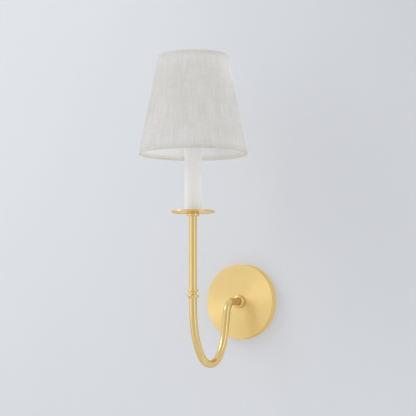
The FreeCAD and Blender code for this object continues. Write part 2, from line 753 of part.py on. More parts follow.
def wire_connectors():
    caps = []
    far = FreeCAD.Vector(-1, 0, 0)
    for sign in (-1, 1):
        mouth = spot(CONNECTOR_X, CONNECTOR_OUT, sign * CONNECTOR_Z)
        cone = Part.makeCone(CONNECTOR_R, CONNECTOR_TIP_R, CONNECTOR_LONG, mouth, far)
        skirt = Part.makeCylinder(CONNECTOR_SKIRT_R, CONNECTOR_SKIRT, mouth, far)
        bore = Part.makeCylinder(LEAD_R, CONNECTOR_GRIP, mouth, far)
        caps.append(cone.fuse(skirt).cut(bore).removeSplitter())
    return Part.makeCompound(caps)


def ground_tab():
    """A lug riveted to the inside of the plate's face."""
    face = PLATE_DEPTH - PLATE_WALL
    pad = Part.makeBox(GROUND_TAB_WIDTH, GROUND_TAB_THICK, GROUND_TAB_HIGH,
                       spot(GROUND_TAB_X - GROUND_TAB_WIDTH / 2, face, GROUND_SCREW_Z - 3))
    rivet = rod(spot(GROUND_TAB_X, face - 2 * GROUND_TAB_THICK, GROUND_SCREW_Z + 3),
                spot(GROUND_TAB_X, face, GROUND_SCREW_Z + 3), GROUND_RIVET_R)
    return pad.fuse(rivet).removeSplitter()


def ground_lead():
    face, z = PLATE_DEPTH - PLATE_WALL, GROUND_SCREW_Z
    head = STRAP_THICK + GROUND_HEAD_HIGH + LEAD_R
    points = [spot(0, head, z), spot(-9.0, head, z + 1), spot(GROUND_TAB_X, 6.4, z - 1),
              spot(GROUND_TAB_X, face - GROUND_TAB_THICK, z - 1)]
    return sweep(rounded_route(points, [8.0, 3.0]), LEAD_R)


def build():
    near_lead, near_length = lead(-1)
    far_lead, far_length = lead(1)
    print("lead lengths, mm:", round(near_length), round(far_length))
    shapes = {
        "backplate": backplate(),
        "mounting_strap": mounting_strap(),
        "rim_screws": rim_screws(),
        "ground_screw": ground_screw(),
        "ground_tab": ground_tab(),
        "ground_lead": ground_lead(),
        "arm_collar": arm_collar(),
        "arm_washer": arm_washer(),
        "arm_nut": arm_nut(),
        "arm_nipple": arm_nipple(),
        "arm_tube": arm_tube(),
        "knop": knop(),
        "stem_tube": stem_tube(),
        "stem_nipple": stem_nipple(),
        "bobeche_cup": bobeche_cup(),
        "bobeche": bobeche(),
        "bobeche_nut": bobeche_nut(),
        "candle_sleeve": candle_sleeve(),
        "socket_bracket": socket_bracket(),
        "bracket_screws": bracket_screws(),
        "lampholder_body": lampholder_body(),
        "lampholder_shell": lampholder_shell(),
        "lampholder_contact": lampholder_contact(),
        "lampholder_terminals": lampholder_terminals(),
        "live_lead": near_lead,
        "neutral_lead": far_lead,
        "wire_connectors": wire_connectors(),
        "bulb_cap": bulb_cap(),
        "bulb_insulator": bulb_insulator(),
        "bulb_contact": bulb_contact(),
        "bulb_globe": bulb_globe(),
        "bulb_stem": bulb_stem(),
        "bulb_filament": bulb_filament(),
        "shade_fabric": shade_fabric(),
        "shade_liner": shade_liner(),
        "shade_seam": shade_seam(),
        "shade_bottom_ring": shade_ring(-1),
        "shade_top_ring": shade_ring(1),
        "hem_bottom": hem(-1),
        "hem_top": hem(1),
        "spider_hub": spider_hub(),
        "bulb_clip_left": bulb_clip(-1),
        "bulb_clip_right": bulb_clip(1),
    }
    for number, turn in enumerate(SPOKE_TURNS, 1):
        shapes["spider_spoke_%d" % number] = spider_spoke(turn)
    return shapes


for node, shape in build().items():
    shape.exportStep("parts/%s.step" % node)
    print("%-22s %s %9.1f mm3 %d" % (node, shape.isValid(), shape.Volume, len(shape.Solids)))
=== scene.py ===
import math

import bmesh
import bpy
from bpy.props import FloatProperty, FloatVectorProperty, IntProperty, PointerProperty
from mathutils import Matrix, Vector


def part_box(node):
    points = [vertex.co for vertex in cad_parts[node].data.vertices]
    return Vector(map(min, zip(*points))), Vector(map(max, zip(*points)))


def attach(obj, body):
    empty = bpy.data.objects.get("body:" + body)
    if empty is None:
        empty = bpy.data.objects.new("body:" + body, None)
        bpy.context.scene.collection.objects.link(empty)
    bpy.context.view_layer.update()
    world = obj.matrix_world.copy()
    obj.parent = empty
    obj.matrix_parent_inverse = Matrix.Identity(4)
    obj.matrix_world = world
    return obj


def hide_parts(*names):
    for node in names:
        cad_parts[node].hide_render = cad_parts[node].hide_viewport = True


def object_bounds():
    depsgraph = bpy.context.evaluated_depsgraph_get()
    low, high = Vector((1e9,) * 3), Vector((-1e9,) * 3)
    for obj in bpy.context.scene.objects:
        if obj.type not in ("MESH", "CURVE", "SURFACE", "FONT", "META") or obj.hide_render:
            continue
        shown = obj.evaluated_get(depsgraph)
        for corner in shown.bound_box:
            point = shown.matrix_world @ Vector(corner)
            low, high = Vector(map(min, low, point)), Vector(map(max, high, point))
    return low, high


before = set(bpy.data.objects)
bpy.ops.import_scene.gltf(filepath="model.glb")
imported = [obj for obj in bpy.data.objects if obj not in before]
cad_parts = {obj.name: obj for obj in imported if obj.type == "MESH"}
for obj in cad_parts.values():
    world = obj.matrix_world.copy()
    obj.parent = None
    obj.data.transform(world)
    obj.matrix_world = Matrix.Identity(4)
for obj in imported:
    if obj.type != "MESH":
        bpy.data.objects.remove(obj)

bl_info = {
    "name": "Fabric shade wall light",
    "version": (1, 0, 0),
    "blender": (4, 5, 0),
    "location": "3D View > Sidebar > Wall light",
    "description": "Dresses the wall light: brass arm, candle sleeve and linen shade",
    "category": "Object",
}

# Sizes are in metres and angles in radians, as in the CAD parts
CAD_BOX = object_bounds()
ROOT = "fixture"
BULB = "bulb"
SHADE = "shade"


def extent(node):
    """Lowest and highest corner of a CAD node, in metres."""
    low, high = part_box(node)
    return Vector(low), Vector(high)


def middle(node):
    low, high = extent(node)
    return (low + high) / 2


def half_width(node):
    low, high = extent(node)
    return (high.x - low.x) / 2


def bottom(node):
    return extent(node)[0].z


def top(node):
    return extent(node)[1].z


def out_of(node):
    """How far a node reaches from the wall."""
    return -extent(node)[0].y


STEM_OUT = -middle("stem_tube").y
STEM_AT = Vector((0.0, -STEM_OUT, 0.0))
PLATE_AT = Vector((0.0, 0.0, 0.0))
TUBE_R = half_width("stem_tube")
# The arm's tube ends this far in front of the plate, inside the collar
ARM_SEAT = 0.0015
# Edges that turn more than this stay sharp
SHARP = math.radians(50)


# Settings shown in the panel
class StageSettings(bpy.types.PropertyGroup):
    wall_colour: FloatVectorProperty(
        name="Wall colour", description="Paint of the wall", subtype="COLOR",
        size=3, min=0, max=1, default=(0.745, 0.760, 0.797))
    # The wall's even share, level and fall-off set its painted glow
    wall_even: FloatProperty(
        name="Even wall", description="Share of the wall's look that shadows leave alone",
        default=0.30, min=0, max=1)
    wall_level: FloatProperty(
        name="Wall level", description="Brightness of the wall's even share", default=1.02, min=0)
    wall_fall: FloatProperty(
        name="Wall fall-off", description="How much brighter the wall gets towards its upper left",
        default=0.9, min=0)
    floor_colour: FloatVectorProperty(
        name="Floor colour", description="Colour of the floor", subtype="COLOR",
        size=3, min=0, max=1, default=(0.80, 0.80, 0.79))
    floor_below: FloatProperty(
        name="Floor below", description="Height of the light's lowest point over the floor",
        default=1.5, min=0, unit="LENGTH")
    room_level: FloatProperty(
        name="Room level", description="Even light from all round", default=0.89, min=0)
    front_dim: FloatProperty(
        name="Dim front", description="How much darker the room is behind the camera",
        default=0.27, min=0, max=1)
    key_level: FloatProperty(
        name="Key level", description="What the high soft box on the left adds", default=2.3,
        min=0)
    left_level: FloatProperty(
        name="Left level", description="What the large screen on the left adds", default=0.25,
        min=0)
    right_level: FloatProperty(
        name="Right level", description="What the screen on the right adds", default=0.42, min=0)
    lens: FloatProperty(
        name="Lens", description="Focal length on a 36 mm sensor", default=128.75, min=10)
    camera_at: FloatVectorProperty(
        name="Camera place", description="Where the camera stands", subtype="TRANSLATION",
        size=3, default=(1.1562, -2.1087, -0.0505))
    camera_turn: FloatProperty(
        name="Camera turn", description="How far the camera looks to the left of straight ahead",
        default=math.radians(30.1), subtype="ANGLE")
    camera_tilt: FloatProperty(
        name="Camera tilt", description="How far the camera looks up", default=0.084,
        subtype="ANGLE")


class MetalSettings(bpy.types.PropertyGroup):
    brass: FloatVectorProperty(
        name="Brass", description="Colour of the lacquered brass", subtype="COLOR",
        size=3, min=0, max=1, default=(0.87, 0.650, 0.285))
    roughness: FloatProperty(
        name="Roughness", description="Satin level of the tubes", default=0.12, min=0, max=1)
    spun_roughness: FloatProperty(
        name="Spun roughness", description="Satin level of the back plate", default=0.36, min=0,
        max=1)
    spun_grain: FloatProperty(
        name="Spun grain", description="How much the plate's turned grain fans out its highlights",
        default=0.8, min=0, max=1)
    plate_edge: FloatProperty(
        name="Plate edge", description="Rounding of the back plate's front edge",
        default=0.0005, min=0.0002, unit="LENGTH")
    steps: IntProperty(
        name="Steps round", description="Faces round each turned piece", default=128, min=24)


class ArmSettings(bpy.types.PropertyGroup):
    bend_from: FloatProperty(
        name="Bend from", description="Height where the arm leaves the stem's line",
        default=-0.0064, unit="LENGTH")
    radii: FloatVectorProperty(
        name="Radii", description="Radii of the four bends down from the knop", size=4,
        default=(0.175, 0.095, 0.0375, 0.075), unit="LENGTH")
    turns: FloatVectorProperty(
        name="Turns", description="Turns of the four bends", size=4, subtype="EULER",
        default=tuple(math.radians(turn) for turn in (12.4, 27.5, 101.6, 26.6)))
    hook_radius: FloatProperty(
        name="Hook", description="Radius of the bend into the plate",
        default=0.020, unit="LENGTH")


class ShadeSettings(bpy.types.PropertyGroup):
    low_radius: FloatProperty(
        name="Bottom radius", description="Outside of the shade at its bottom edge",
        default=0.0838, unit="LENGTH")
    top_radius: FloatProperty(
        name="Top radius", description="Outside of the shade at its top edge",
        default=0.0536, unit="LENGTH")
    cloth: FloatProperty(
        name="Cloth", description="Thickness of the linen", default=0.0006, unit="LENGTH")
    liner: FloatProperty(
        name="Liner", description="Thickness of the film behind the linen",
        default=0.0004, unit="LENGTH")
    band: FloatProperty(
        name="Turned-in band", description="Width of the hem on the inside",
        default=0.006, unit="LENGTH")
    thread: FloatProperty(
        name="Thread", description="Distance from thread to thread",
        default=0.00062, unit="LENGTH")
    linen: FloatVectorProperty(
        name="Linen", description="Colour of the linen", subtype="COLOR",
        size=3, min=0, max=1, default=(0.885, 0.88, 0.86))
    tape: FloatVectorProperty(
        name="Hem", description="Colour of the turned-in hem", subtype="COLOR",
        size=3, min=0, max=1, default=(0.92, 0.88, 0.82))


class CandleSettings(bpy.types.PropertyGroup):
    ivory: FloatVectorProperty(
        name="Sleeve colour", description="Colour of the candle sleeve", subtype="COLOR",
        size=3, min=0, max=1, default=(0.935, 0.93, 0.915))
    lip: FloatProperty(
        name="Lip", description="Rounding of the sleeve's ends", default=0.0004, unit="LENGTH")


def settings(name):
    return getattr(bpy.context.scene, "wall_light_" + name)


# Mesh helpers
def rounded(corners, pieces=6):
    """Points of a closed outline whose corners, given as (a, b, radius), are rounded."""
    points = []
    count = len(corners)
    for i, (a, b, radius) in enumerate(corners):
        here = Vector((a, b))
        if radius == 0:
            points.append(here)
            continue
        back = (Vector(corners[i - 1][:2]) - here).normalized()
        on = (Vector(corners[(i + 1) % count][:2]) - here).normalized()
        half = back.angle(on) / 2
        reach = radius / math.tan(half)
        centre = here + (back + on).normalized() * (radius / math.sin(half))
        start = here + back * reach - centre
        sweep = start.angle_signed(here + on * reach - centre)
        for k in range(pieces + 1):
            points.append(centre + Matrix.Rotation(-sweep * k / pieces, 2) @ start)
    return points


def arc_through(start, through, end, pieces=20):
    """Points of the arc from start to end that passes through a third point."""
    one, two, three = Vector(start), Vector(through), Vector(end)
    first, second = two - one, three - one
    area = 2 * (first.x * second.y - first.y * second.x)
    centre = one + Vector((
        second.y * first.length_squared - first.y * second.length_squared,
        first.x * second.length_squared - second.x * first.length_squared)) / area
    one, two, three = one - centre, two - centre, three - centre
    sweep = one.angle_signed(two) + two.angle_signed(three)
    return [tuple(centre + Matrix.Rotation(-sweep * k / pieces, 2) @ one)
            for k in range(pieces + 1)]


def build_piece(name, verts, faces, uvs):
    """An object from points in metres, shaded smooth except over sharp edges."""
    mesh = bpy.data.meshes.new(name)
    mesh.from_pydata(verts, [], faces)
    layer = mesh.uv_layers.new(name="cloth")
    for loop in mesh.loops:
        layer.data[loop.index].uv = uvs[loop.index]
    work = bmesh.new()
    work.from_mesh(mesh)
    bmesh.ops.recalc_face_normals(work, faces=work.faces)
    for face in work.faces:
        face.smooth = True
    for edge in work.edges:
        edge.smooth = edge.calc_face_angle(0.0) < SHARP
    work.to_mesh(mesh)
    work.free()
    piece = bpy.data.objects.new(name, mesh)
    bpy.context.collection.objects.link(piece)
    return piece


def turn_profile(name, points, at, axis="Z", steps=128, full=math.tau, start=0.0, closed=True):
    """A piece turned from points of (radius, height).

    The height runs up for axis Z and out of the wall for axis Y. Part of a turn has open ends.
    """
    whole = full == math.tau
    columns = steps if whole else steps + 1
    verts = []
    for k in range(columns):
        angle = start + full * k / steps
        across, up = math.cos(angle), math.sin(angle)
        for radius, height in points:
            if axis == "Z":
                verts.append(at + Vector((radius * across, radius * up, height)))
            else:
                verts.append(at + Vector((radius * across, -height, radius * up)))
    count = len(points)
    along = [0.0]
    for one, two in zip(points, list(points[1:]) + [points[0]]):
        along.append(along[-1] + (Vector(two) - Vector(one)).length)
    faces, uvs = [], []
    reach = max(point[0] for point in points)
    for k in range(steps):
        left, right = k, (k + 1) % columns
        for i in range(count if closed else count - 1):
            j = (i + 1) % count
            ring = [(left, i), (right, i), (right, j), (left, j)]
            places = [(k, i), (k + 1, i), (k + 1, i + 1), (k, i + 1)]
            corners, spots = [], []
            for (column, row), (turn, step) in zip(ring, places):
                on_axis = points[row][0] == 0.0
                index = row if on_axis else column * count + row
                if index in corners:
                    continue
                corners.append(index)
                spots.append((full * turn / steps * reach, along[step]))
            if len(corners) > 2:
                faces.append(corners)
                uvs.extend(spots)
    return build_piece(name, verts, faces, uvs)


def sweep_tube(name, centres, radius, bore, sides=96):
    """A tube with an open bore along points in one upright plane."""
    count = len(centres)
    verts, faces, uvs = [], [], []
    along = [0.0]
    for one, two in zip(centres, centres[1:]):
        along.append(along[-1] + (two - one).length)
    across = Vector((1.0, 0.0, 0.0))
    for i, centre in enumerate(centres):
        ahead = (centres[min(i + 1, count - 1)] - centres[max(i - 1, 0)]).normalized()
        lift = ahead.cross(across).normalized()
        for size in (radius, bore):
            for k in range(sides):
                angle = math.tau * k / sides
                verts.append(centre + (across * math.cos(angle) + lift * math.sin(angle)) * size)

    def quad(rows, columns, layers):
        """One face: rows are path steps, columns turn round, layers pick wall or bore."""
        corners, spots = [], []
        for row, column, layer in zip(rows, columns, layers):
            corners.append((row * 2 + layer) * sides + column % sides)
            spots.append((math.tau * radius * column / sides, along[row]))
        faces.append(corners)
        uvs.extend(spots)

    for k in range(sides):
        columns = (k, k + 1, k + 1, k)
        for i in range(count - 1):
            quad((i, i, i + 1, i + 1), columns, (0, 0, 0, 0))
            quad((i, i, i + 1, i + 1), columns, (1, 1, 1, 1))
        for end in (0, count - 1):
            quad((end, end, end, end), columns, (0, 0, 1, 1))
    return build_piece(name, verts, faces, uvs)


def keep_flats(piece):
    """Keeps flat faces flat beside their rounded edges."""
    flats = piece.modifiers.new("flats", "WEIGHTED_NORMAL")
    flats.keep_sharp = True


def fit_piece(piece, body, material, node):
    """Gives a new piece its body and its finish, and hides the CAD node that it stands for."""
    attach(piece, body)
    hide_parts(node)
    piece.data.materials.append(material)


def dress(material, *nodes):
    """Puts a finish on CAD nodes that keep their own meshes."""
    for node in nodes:
        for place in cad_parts[node].material_slots:
            place.material = material


# Node helpers
# Most of a noise's values lie between these two
NOISE_LOW = 0.3
NOISE_HIGH = 0.7


class Finish:
    """A material and the few node links that the finishes share."""

    def __init__(self, name):
        self.material = bpy.data.materials.new(name)
        self.material.use_nodes = True
        self.tree = self.material.node_tree
        self.shader = self.tree.nodes["Principled BSDF"]

    def node(self, kind, **values):
        made = self.tree.nodes.new("ShaderNode" + kind)
        for key, value in values.items():
            setattr(made, key, value)
        return made

    def join(self, source, target):
        self.tree.links.new(source, target)

    def set(self, **values):
        for key, value in values.items():
            self.shader.inputs[key.replace("_", " ")].default_value = value

    def place(self, scale, space):
        """Coordinates in metres times scale, on the object or on its unrolled surface."""
        where = self.node("TexCoord")
        spread = self.node("Mapping")
        spread.inputs["Scale"].default_value = scale
        self.join(where.outputs[space], spread.inputs["Vector"])
        return spread.outputs["Vector"]

    def noise(self, scale, space="Object", detail=3.0, rough=0.5):
        """Noise of so many grains a metre, the same every way or one number for each axis."""
        if isinstance(scale, float):
            scale = (scale, scale, scale)
        grain = self.node("TexNoise")
        grain.inputs["Scale"].default_value = 1.0
        grain.inputs["Detail"].default_value = detail
        grain.inputs["Roughness"].default_value = rough
        self.join(self.place(scale, space), grain.inputs["Vector"])
        return grain.outputs["Fac"]

    def spread(self, value, low, high, start=NOISE_LOW, end=NOISE_HIGH):
        """Remaps a value between start and end to the range from low to high."""
        remap = self.node("MapRange")
        ends = {"From Min": start, "From Max": end, "To Min": low, "To Max": high}
        for key, number in ends.items():
            remap.inputs[key].default_value = number
        self.join(value, remap.inputs["Value"])
        return remap.outputs["Result"]

    def tint(self, value, dark, light):
        """A colour between two, picked by a texture's value."""
        ramp = self.node("ValToRGB")
        stops = ((NOISE_LOW, dark), (NOISE_HIGH, light))
        for stop, (position, colour) in zip(ramp.color_ramp.elements, stops):
            stop.position = position
            stop.color = (*colour, 1)
        self.join(value, ramp.inputs["Fac"])
        return ramp.outputs["Color"]

    def maths(self, kind, *values):
        """One step of maths on numbers or on other nodes' results."""
        result = self.node("Math", operation=kind)
        for port, value in zip(result.inputs, values):
            if isinstance(value, (int, float)):
                port.default_value = value
            else:
                self.join(value, port)
        return result.outputs["Value"]

    def relief(self, height, depth, strength):
        """Shades the surface as if a texture raised it by up to a depth in metres."""
        bump = self.node("Bump")
        bump.inputs["Strength"].default_value = strength
        bump.inputs["Distance"].default_value = depth
        self.join(height, bump.inputs["Height"])
        self.join(bump.outputs["Normal"], self.shader.inputs["Normal"])

    def mixed(self, fac, one, two):
        """Blends two shaders by a number or by another node's result."""
        mix = self.node("MixShader")
        if isinstance(fac, float):
            mix.inputs["Fac"].default_value = fac
        else:
            self.join(fac, mix.inputs["Fac"])
        self.join(one, mix.inputs[1])
        self.join(two, mix.inputs[2])
        return mix.outputs["Shader"]

    def surface(self, shader):
        self.join(shader, self.tree.nodes["Material Output"].inputs["Surface"])

    def glow(self, share, colour, threads=None):
        """Lets a share of the light through the sheet to its other side."""
        through = self.node("BsdfTranslucent")
        through.inputs["Color"].default_value = (*colour, 1)
        if threads:
            self.join(threads, through.inputs["Color"])
        self.surface(self.mixed(share, self.shader.outputs["BSDF"], through.outputs["BSDF"]))


def shaded(colour, factor):
    return tuple(min(1.0, part * factor) for part in colour)


def toned(colour, factors):
    return tuple(part * factor for part, factor in zip(colour, factors))


# Finishes
# The drawn tubes' tone, as factors of the brass
DRAWN_TONE = (0.975, 0.965, 0.90)
# Painted shade near the plate: a darker, less saturated brass tone where the arm and collar sit in
# shade, and where it starts and is full
PAINTED_SHADE_TONE = (0.88, 0.94, 1.35)
PAINTED_SHADE_FROM_Y = -0.052
PAINTED_SHADE_TO_Y = -0.030


def satin_brass(name, roughness=None, spun=0.0, drawn=False, painted_shade=0.0):
    """Lacquered brass with a fine satin grain round the turned parts or along drawn tubes, with
    painted shade towards the plate where asked.
    """
    values = settings("metal")
    roughness = values.roughness if roughness is None else roughness
    metal = toned(values.brass, DRAWN_TONE) if drawn else tuple(values.brass)
    brass = Finish(name)
    brass.set(Metallic=0.86, Specular_Tint=(*shaded(metal, 0.85 if drawn else 1.05), 1),
              Anisotropic=spun, Coat_Weight=0.5 if drawn else 0.0, Coat_Roughness=0.08)
    if spun:
        turning = brass.node("Tangent", direction_type="RADIAL", axis="Y")
        brass.join(turning.outputs["Tangent"], brass.shader.inputs["Tangent"])
    tone = brass.noise(18.0, detail=2.0)
    colour = brass.tint(tone, shaded(metal, 0.97), shaded(metal, 1.03))
    # Painted shade: the brass turns darker and less saturated towards the plate
    if painted_shade:
        spots = brass.node("SeparateXYZ")
        brass.join(brass.node("TexCoord").outputs["Object"], spots.inputs["Vector"])
        shade_mask = brass.spread(spots.outputs["Y"], 0.0, painted_shade, PAINTED_SHADE_FROM_Y, PAINTED_SHADE_TO_Y)
        fade = brass.node("Mix", data_type="RGBA")
        brass.join(shade_mask, fade.inputs["Factor"])
        brass.join(colour, fade.inputs["A"])
        fade.inputs["B"].default_value = (*toned(metal, PAINTED_SHADE_TONE), 1)
        colour = fade.outputs["Result"]
    brass.join(colour, brass.shader.inputs["Base Color"])
    grain = brass.noise((5200.0, 60.0, 1.0) if drawn else (60.0, 5200.0, 1.0), "UV", detail=4.0)
    smudge = brass.noise(42.0, detail=4.0)
    level = brass.maths("ADD", brass.spread(grain, -0.035, 0.035),
                        brass.spread(smudge, -0.03, 0.03))
    brass.join(brass.maths("ADD", level, roughness), brass.shader.inputs["Roughness"])
    brass.relief(grain, depth=0.00001, strength=0.35)
    return brass.material


def plain_brass(name="plain_brass"):
    brass = Finish(name)
    brass.set(Metallic=1.0)
    tone = brass.noise(140.0, detail=5.0)
    brass.join(brass.tint(tone, (0.55, 0.38, 0.16), (0.72, 0.52, 0.24)),
               brass.shader.inputs["Base Color"])
    brass.join(brass.spread(tone, 0.25, 0.42), brass.shader.inputs["Roughness"])
    brass.relief(brass.noise((900.0, 900.0, 2600.0)), depth=0.00002, strength=0.4)
    return brass.material


def zinc_steel():
    steel = Finish("zinc_steel")
    steel.set(Metallic=1.0)
    tone = steel.noise(90.0, detail=6.0)
    steel.join(steel.tint(tone, (0.46, 0.46, 0.47), (0.66, 0.66, 0.65)),
               steel.shader.inputs["Base Color"])
    steel.join(steel.spread(tone, 0.30, 0.48), steel.shader.inputs["Roughness"])
    steel.relief(steel.noise((400.0, 400.0, 3000.0)), depth=0.00002, strength=0.4)
    return steel.material


def moulded(name, colour, roughness=0.42):
    """Plastic, enamel or insulation with a faint mottle."""
    plastic = Finish(name)
    tone = plastic.noise(120.0, detail=4.0)
    plastic.join(plastic.tint(tone, shaded(colour, 0.94), shaded(colour, 1.05)),
                 plastic.shader.inputs["Base Color"])
    plastic.join(plastic.spread(tone, roughness - 0.05, roughness + 0.05),
                 plastic.shader.inputs["Roughness"])
    plastic.relief(plastic.noise(1800.0), depth=0.00001, strength=0.3)
    return plastic.material


def candle_paint():
    """Off-white sleeve with a soft gloss and faint lengthwise drawing lines."""
    colour = settings("candle").ivory
    paint = Finish("candle_paint")
    tone = paint.noise((30.0, 30.0, 9.0))
    paint.join(paint.tint(tone, shaded(colour, 0.985), shaded(colour, 1.015)),
               paint.shader.inputs["Base Color"])
    lines = paint.noise((900.0, 12.0, 1.0), "UV")
    paint.join(paint.spread(lines, 0.36, 0.46), paint.shader.inputs["Roughness"])
    paint.set(Coat_Weight=0.3, Coat_Roughness=0.3)
    paint.relief(lines, depth=0.00003, strength=0.35)
    return paint.material


def nickel():
    metal = Finish("nickel")
    metal.set(Metallic=1.0)
    tone = metal.noise(160.0, detail=4.0)
    metal.join(metal.tint(tone, (0.58, 0.56, 0.52), (0.72, 0.70, 0.66)),
               metal.shader.inputs["Base Color"])
    metal.join(metal.spread(tone, 0.18, 0.34), metal.shader.inputs["Roughness"])
    return metal.material


def frosted_glass():
    """Inside-frosted lamp glass, milky white with a clear gloss outside."""
    glass = Finish("frosted_glass")
    tone = glass.noise(60.0)
    glass.join(glass.tint(tone, (0.93, 0.93, 0.91), (0.96, 0.96, 0.94)),
               glass.shader.inputs["Base Color"])
    glass.join(glass.spread(tone, 0.10, 0.18), glass.shader.inputs["Roughness"])
    glass.set(Transmission_Weight=0.12, IOR=1.5)
    return glass.material


def light_rod():
    """The bulb's filaments, unlit."""
    rod = Finish("light_rod")
    tone = rod.noise(1500.0, detail=2.0)
    rod.join(rod.tint(tone, (0.80, 0.60, 0.22), (0.95, 0.78, 0.36)),
             rod.shader.inputs["Base Color"])
    rod.set(Roughness=0.6)
    return rod.material


def weave(cloth, pitch, wander=2.2):
    """Height of a plain weave with a thread every pitch metres, from 0 to 1."""
    parts = cloth.node("SeparateXYZ")
    cloth.join(cloth.place((1.0, 1.0, 1.0), "UV"), parts.inputs["Vector"])
    drift = cloth.maths("MULTIPLY", cloth.noise((900.0, 55.0, 1.0), "UV", detail=2.0), wander)

    def ribs(way):
        """The ups and downs of the threads that follow each other along one axis."""
        turn = cloth.maths("MULTIPLY", parts.outputs[way], math.pi / pitch)
        return cloth.maths("SINE", cloth.maths("ADD", turn, drift))

    over = cloth.maths("MULTIPLY", ribs("X"), ribs("Y"))
    return cloth.maths("ADD", cloth.maths("MULTIPLY", over, 0.5), 0.5)


def linen(name, colour, slub=1.0, through=0.66):
    """Off-white linen: plain weave, upright slubs and finer cross threads.

    slub scales how strong the threads show, and through is the share of light let through.
    """
    cloth = Finish(name)
    threads = weave(cloth, settings("shade").thread)
    upright = cloth.noise((520.0, 26.0, 1.0), "UV", rough=0.6)
    crosswise = cloth.noise((34.0, 700.0, 1.0), "UV", detail=2.0)
    patch = cloth.noise(26.0)
    slubs = cloth.spread(upright, -1.0, 1.0, 0.28, 0.72)
    mixed = cloth.maths("ADD", slubs, cloth.spread(crosswise, -0.45, 0.45))
    mixed = cloth.maths("ADD", mixed, cloth.spread(patch, -0.4, 0.4))
    mixed = cloth.maths("ADD", mixed, cloth.spread(threads, -0.6, 0.6, 0.0, 1.0))
    level = cloth.spread(mixed, NOISE_LOW, NOISE_HIGH, -1.6, 1.6)
    darkest, lightest = 1 - 0.24 * slub, 1 + 0.17 * slub
    cloth.join(cloth.tint(level, shaded(colour, darkest), shaded(colour, lightest)),
               cloth.shader.inputs["Base Color"])
    cloth.set(Roughness=0.92, Sheen_Weight=0.12, Sheen_Roughness=0.5, Specular_IOR_Level=0.2)
    height = cloth.maths("ADD", threads, cloth.maths("MULTIPLY", slubs, 0.8))
    cloth.relief(height, depth=0.00022, strength=0.8)
    lit = 1.15
    darkest, lightest = lit - 0.16 * slub, lit + 0.10 * slub
    cloth.glow(through, shaded(colour, lit),
               cloth.tint(level, shaded(colour, darkest), shaded(colour, lightest)))
    return cloth.material


def white_film():
    """The shade's matt white liner."""
    film = Finish("white_film")
    tone = film.noise(45.0)
    film.join(film.tint(tone, (0.90, 0.89, 0.88), (0.93, 0.92, 0.91)),
              film.shader.inputs["Base Color"])
    film.set(Roughness=0.7)
    film.relief(film.noise((700.0, 700.0, 1.0), "UV"), depth=0.00004, strength=0.3)
    film.glow(0.84, (0.99, 0.98, 0.965))
    return film.material


def painted_wall_glow(paint):
    """Painted light: a glow of the wall's own colour, which shadows leave alone, painted brighter
    to the upper left.
    """
    values = settings("stage")
    centre_z, most = -0.25, 0.2
    even = paint.node("Emission")
    even.inputs["Color"].default_value = (*values.wall_colour, 1)
    spots = paint.node("SeparateXYZ")
    paint.join(paint.node("TexCoord").outputs["Object"], spots.inputs["Vector"])
    left = paint.maths("MULTIPLY", spots.outputs["X"], -values.wall_fall)
    above = paint.maths("SUBTRACT", spots.outputs["Z"], centre_z)
    corner = paint.maths("MULTIPLY", left, above)
    corner = paint.maths("MINIMUM", paint.maths("MAXIMUM", corner, -most), most)
    paint.join(paint.maths("ADD", corner, values.wall_level), even.inputs["Strength"])
    return even.outputs["Emission"]


def wall_paint():
    """Matt paint that shows only from its front, and only to camera, gloss and glass rays."""
    values = settings("stage")
    paint = Finish("wall_paint")
    patch = paint.noise((2.2, 2.2, 1.1))
    roller = paint.noise((160.0, 160.0, 48.0))
    wall = values.wall_colour
    paint.join(paint.tint(patch, shaded(wall, 0.985), shaded(wall, 1.015)),
               paint.shader.inputs["Base Color"])
    paint.set(Roughness=0.95, Specular_IOR_Level=0.1)
    paint.relief(roller, depth=0.0005, strength=0.35)
    rays = paint.node("LightPath").outputs
    backs = paint.node("NewGeometry").outputs["Backfacing"]
    # Camera rays see the painted glow mixed with the lit paint
    shadowed = paint.maths("MULTIPLY", rays["Is Camera Ray"], 1 - values.wall_even)
    look = paint.mixed(shadowed, painted_wall_glow(paint), paint.shader.outputs["BSDF"])
    seen = paint.maths("MAXIMUM", rays["Is Camera Ray"], rays["Is Glossy Ray"])
    seen = paint.maths("MAXIMUM", seen, rays["Is Transmission Ray"])
    seen = paint.maths("MULTIPLY", seen, paint.maths("SUBTRACT", 1.0, backs))
    clear = paint.node("BsdfTransparent").outputs["BSDF"]
    paint.surface(paint.mixed(seen, clear, look))
    return paint.material


def floor_paint():
    paint = Finish("floor_paint")
    floor = settings("stage").floor_colour
    paint.join(paint.tint(paint.noise(3.0), shaded(floor, 0.98), shaded(floor, 1.02)),
               paint.shader.inputs["Base Color"])
    paint.set(Roughness=0.9)
    return paint.material


# Stage
# The wall stands just behind the plate's rear, so the two never share a plane
WALL_Y = 0.0006
WALL_HALF = 6.0
WALL_TOP = 4.0
FLOOR_HALF = 8.0
# The soft boxes face this point
AIM = Vector((0.0, -0.1, 0.1))
# The room is dimmest up to the first angle from the camera's side, and even past the second
DIM_ALL = math.radians(12)
DIM_NONE = math.radians(48)


def flat_sheet(name, corners, material):
    mesh = bpy.data.meshes.new(name)
    mesh.from_pydata(corners, [], [(0, 1, 2, 3)])
    sheet = bpy.data.objects.new(name, mesh)
    bpy.context.collection.objects.link(sheet)
    mesh.materials.append(material)


def soft_box(name, level, side, lift, distance, width, height):
    """A large lamp aimed at the light, so many degrees to the right of straight out, and up."""
    side, lift = math.radians(side), math.radians(lift)
    flat = distance * math.cos(lift)
    place = AIM + Vector((flat * math.sin(side), -flat * math.cos(side),
                          distance * math.sin(lift)))
    lamp = bpy.data.lights.new(name, "AREA")
    lamp.shape = "RECTANGLE"
    lamp.size = width
    lamp.size_y = height
    lamp.energy = level * math.pi * width * height
    holder = bpy.data.objects.new(name, lamp)
    holder.location = place
    holder.rotation_mode = "QUATERNION"
    holder.rotation_quaternion = (AIM - place).to_track_quat("-Z", "Y")
    holder.visible_camera = False
    bpy.context.collection.objects.link(holder)


